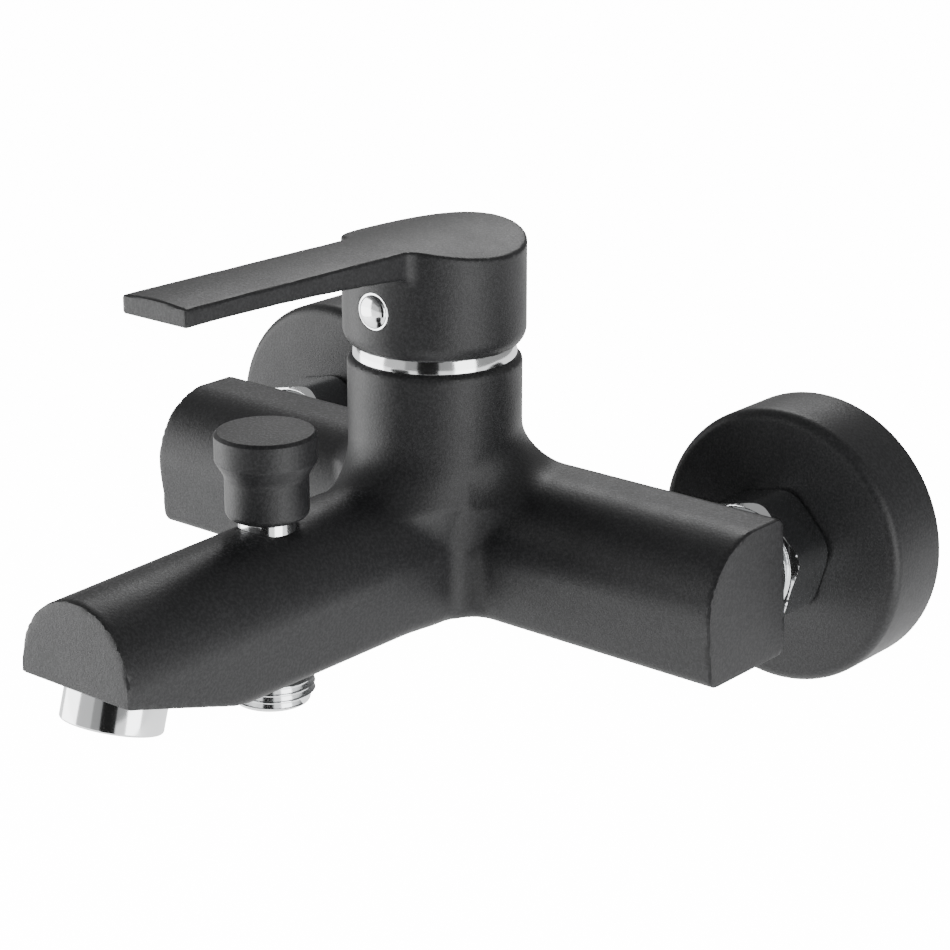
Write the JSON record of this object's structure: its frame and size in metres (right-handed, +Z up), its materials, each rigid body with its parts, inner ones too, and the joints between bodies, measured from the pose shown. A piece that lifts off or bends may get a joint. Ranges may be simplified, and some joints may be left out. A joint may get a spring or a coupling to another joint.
{
  "type": "wall mounted bath mixer",
  "caption": "Single lever wall mounted bath mixer with a pull-up diverter on an arched spout, a threaded shower outlet below and round wall rosettes.",
  "frame": {"origin": "on the wall plane, midway between the two inlets and level with the mixer's inlet axis", "axes": "+X right as seen from the room, +Y into the wall, +Z up"},
  "size_m": [0.22, 0.2032, 0.1136],
  "materials": {
    "black_powder": "fine textured matte powder coat",
    "polished_chrome": "polished chrome plate",
    "plumbing_brass": "bare turned brass",
    "steel": "bright stainless steel",
    "black_rubber": "smooth nitrile rubber",
    "white_plastic": "moulded acetal",
    "blue_plastic": "moulded acetal",
    "ceramic": "lapped alumina"
  },
  "bodies": {
    "mixer_body": {"body_casting": "black_powder", "wall_rosette_left": "black_powder", "wall_rosette_right": "black_powder", "wall_union_left": "plumbing_brass", "wall_union_right": "plumbing_brass", "union_nut_left": "polished_chrome", "union_nut_right": "polished_chrome", "inlet_tail_left": "polished_chrome", "inlet_tail_right": "polished_chrome", "inlet_gasket_left": "black_rubber", "inlet_gasket_right": "black_rubber", "cartridge_base": "white_plastic", "cartridge_seals": "black_rubber", "fixed_disc": "ceramic", "cartridge_housing": "white_plastic", "cartridge_nut": "plumbing_brass", "dome_ring": "polished_chrome", "diverter_bonnet": "polished_chrome", "bonnet_o_ring": "black_rubber", "stem_o_ring": "black_rubber", "diverter_spring": "steel", "shower_nipple": "polished_chrome", "nipple_o_ring": "black_rubber", "check_valve_body": "white_plastic", "check_spring": "steel", "aerator_housing": "polished_chrome", "aerator_insert": "white_plastic", "aerator_mesh": "steel", "aerator_gasket": "black_rubber"},
    "swivel": {"spindle_guide": "blue_plastic", "spindle_pin": "steel"},
    "lever": {"lever_spindle": "plumbing_brass", "lever_handle": "black_powder", "set_screw": "steel", "indicator_cap": "polished_chrome"},
    "disc_slide": {"moving_disc": "ceramic", "disc_carrier": "white_plastic"},
    "diverter": {"diverter_knob": "black_powder", "diverter_stem": "plumbing_brass", "diverter_plate": "plumbing_brass", "diverter_seals": "black_rubber"},
    "check_valve": {"check_poppet": "blue_plastic"}
  },
  "joints": [
    {"name": "temperature_turn", "type": "hinge", "parent": "mixer_body", "child": "swivel", "pos_m": [0, -0.0617, 0.041], "axis": [0, 0, 1], "range_deg": [-45, 45]},
    {"name": "flow_lift", "type": "hinge", "parent": "swivel", "child": "lever", "pos_m": [0, -0.0617, 0.041], "axis": [-1, 0, 0], "range_deg": [0, 25]},
    {"name": "disc_travel", "type": "slide", "parent": "swivel", "child": "disc_slide", "axis": [0, -1, 0], "range_m": [0, 0.0048]},
    {"name": "diverter_pull", "type": "slide", "parent": "mixer_body", "child": "diverter", "axis": [0, 0, 1], "range_m": [0, 0.009], "stiffness_N_per_m": 60, "springref_m": -0.01, "deforming": ["diverter_spring"]},
    {"name": "check_opening", "type": "slide", "parent": "mixer_body", "child": "check_valve", "axis": [0, 0, -1], "range_m": [0, 0.002], "stiffness_N_per_m": 100, "springref_m": -0.004, "deforming": ["check_spring"]}
  ],
  "couplings": [
    {"joint": "disc_travel", "follows": "flow_lift", "m_per_rad": 0.01066}
  ]
}
